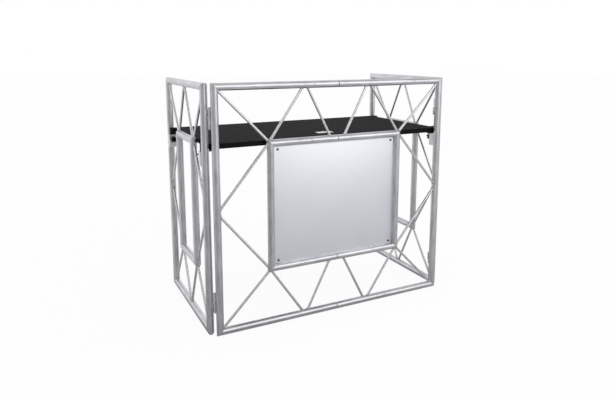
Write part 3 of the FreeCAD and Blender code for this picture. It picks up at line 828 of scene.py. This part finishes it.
def hardware_and_table():
    """Tabs, hinges, brackets, rests, boards and knobs, each with its edges broken."""
    softened("panel_tabs", "front_frame", "tube_aluminium", "bracket", TAB_EDGE)
    softened("front_hinge_leaves", "front_frame", "hinge_plate", "hinge", LEAF_EDGE)
    softened("hinge_pins", "front_frame", "hinge_pin", "pin", HINGE_PIN_EDGE)
    softened("table_hinge_pin", "table_left", "hinge_pin", "pin", TABLE_PIN_EDGE)
    for side in SIDES:
        wing_body, table_body = f"{side}_wing", f"table_{side}"
        softened(f"{side}_wing_hinge_leaves", wing_body, "hinge_plate", "hinge", LEAF_EDGE)
        softened(f"{side}_table_brackets", wing_body, "bracket_aluminium", "bracket", BRACKET_EDGE)
        softened(f"{side}_table_rests", wing_body, "rest_plastic", "rest", REST_EDGE)
        softened(f"{side}_table_board", table_body, "table_laminate", "laminate", BOARD_EDGE)
        softened(f"{side}_table_edging", table_body, "table_edging", "edging", EDGING_EDGE)
        softened(f"{side}_table_hinge_leaf", table_body, "hinge_plate", "hinge", TABLE_LEAF_EDGE)
        for end in ("front", "rear"):
            star_knob(f"{side}_{end}_knob")


def floor():
    """Large pale floor that keeps the booth's shadow, and glows to mirrors at its own level: dimmed close to
    the booth as a painted shadow, dimmed in the left front as painted shade, brighter towards the rear as
    painted light.
    """
    deselect()
    bpy.ops.mesh.primitive_plane_add(size=FLOOR_SIZE, location=(0, 0, -FLOOR_DROP))
    obj = settled("floor")
    made = bpy.data.materials.new("pale_floor")
    made.use_nodes = True
    made.cycles.emission_sampling = "NONE"
    finish = Finish(made.node_tree)
    made.node_tree.nodes.clear()
    camera_ray = finish.ray("Camera")
    mirrored = finish.ray("Glossy") + finish.ray("Transmission")
    under = finish.node("ShaderNodeBsdfDiffuse", None, {"Color": FLOOR_UNDER})
    pale = finish.node("ShaderNodeBsdfDiffuse", None, {"Color": FLOOR_PALE})
    paper = finish.node("ShaderNodeMixShader", None, {0: camera_ray, 1: under, 2: pale})
    white = finish.node("ShaderNodeEmission", None, {"Color": WHITE, "Strength": 1.0})
    place = finish.node("ShaderNodeTexCoord", output="Object")
    depth = finish.axis(place, "Y")
    across = finish.axis(place, "X")
    rear = finish.spread(depth, -1.0, 1.5)
    # painted shadow: the glow that mirrors see is dimmed close to the booth
    away = finish.spread(across * across * 1.8 + depth * depth * 5.0, 0.8, 4.0)
    # painted shade: the glow that mirrors see is dimmed in the left front
    unlit = (1.0 - finish.spread(across, -1.1, 0.0)) * (1.0 - finish.spread(depth, -0.7, 0.3))
    # painted light: brighter towards the rear
    level = rear * FLOOR_REAR_PAINTED_LIGHT + FLOOR_FRONT
    level = level * (away * (1.0 - FLOOR_NEAR_PAINTED_SHADOW) + FLOOR_NEAR_PAINTED_SHADOW) * (1.0 - unlit * FLOOR_LEFT_PAINTED_SHADE)
    share = camera_ray * FLOOR_WHITE + mirrored * level
    mixed = finish.node("ShaderNodeMixShader", None, {0: share, 1: paper, 2: white})
    output = made.node_tree.nodes.new("ShaderNodeOutputMaterial")
    made.node_tree.links.new(mixed.socket, output.inputs["Surface"])
    obj.data.materials.append(made)


def studio_world():
    """White to the camera, dimmer overhead and at the left front to mirrors, plain for diffuse light."""
    world = bpy.data.worlds.new("studio")
    scene.world = world
    world.use_nodes = True
    world.cycles.sampling_method = "NONE"
    finish = Finish(world.node_tree)
    world.node_tree.nodes.clear()
    direction = finish.node("ShaderNodeTexCoord", output="Generated")
    height = finish.axis(direction, "Z")
    depth = finish.axis(direction, "Y")
    across = finish.axis(direction, "X")
    rear = finish.spread(depth, -0.4, 0.4)
    overhead = finish.spread(height, 0.4, 0.9)
    unlit = (1.0 - finish.spread(across, -0.6, 0.1)) * (1.0 - finish.spread(depth, -0.7, 0.0))
    level = rear * ROOM_REAR_GAIN + ROOM_FRONT
    level = level * (1.0 - overhead * ROOM_TOP_LOSS) * (1.0 - unlit * ROOM_LEFT_LOSS)
    camera_ray = finish.ray("Camera")
    mirrored = finish.ray("Glossy") + finish.ray("Transmission")
    dark = finish.node("ShaderNodeBackground", None, {"Color": WHITE, "Strength": ROOM_DARKEST})
    white = finish.node("ShaderNodeBackground", None, {"Color": WHITE, "Strength": 1.0})
    soft = finish.node("ShaderNodeBackground", None, {"Color": WHITE, "Strength": ROOM_SOFT})
    seen = finish.node("ShaderNodeMixShader", None, {0: camera_ray + mirrored * level, 1: dark, 2: white})
    mixed = finish.node("ShaderNodeMixShader", None, {0: camera_ray + mirrored, 1: soft, 2: seen})
    output = world.node_tree.nodes.new("ShaderNodeOutputWorld")
    world.node_tree.links.new(mixed.socket, output.inputs["Surface"])


def front_softbox():
    """Soft lamp of an even brightness, kept out of the camera's sight."""
    lamp = bpy.data.lights.new("front_softbox", "AREA")
    lamp.shape = "RECTANGLE"
    lamp.size = LAMP_WIDTH
    lamp.size_y = LAMP_HEIGHT
    lamp.energy = LAMP_BRIGHTNESS * math.pi * LAMP_WIDTH * LAMP_HEIGHT
    obj = bpy.data.objects.new("front_softbox", lamp)
    scene.collection.objects.link(obj)
    obj.location = LAMP_AT
    obj.rotation_euler = (Vector(LAMP_AIM) - Vector(LAMP_AT)).to_track_quat("-Z", "Y").to_euler()
    obj.visible_camera = False


def camera():
    """Camera at the photograph's place."""
    lens = bpy.data.cameras.new("camera")
    lens.lens = CAMERA_LENS
    lens.sensor_width = CAMERA_SENSOR
    lens.shift_y = CAMERA_SHIFT_Y
    obj = bpy.data.objects.new("camera", lens)
    scene.collection.objects.link(obj)
    obj.location = CAMERA_AT
    obj.rotation_euler = (math.pi / 2 + CAMERA_PITCH, 0, -CAMERA_YAW)
    scene.camera = obj


for side in SIDES:
    front_half(side)
    wing(side)
panel()
screws()
hardware_and_table()
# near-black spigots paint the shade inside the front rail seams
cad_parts["rail_spigots"].material_slots[0].material = FINISHES["spigot"]

floor()
studio_world()
front_softbox()
camera()
scene.view_settings.view_transform = "Standard"
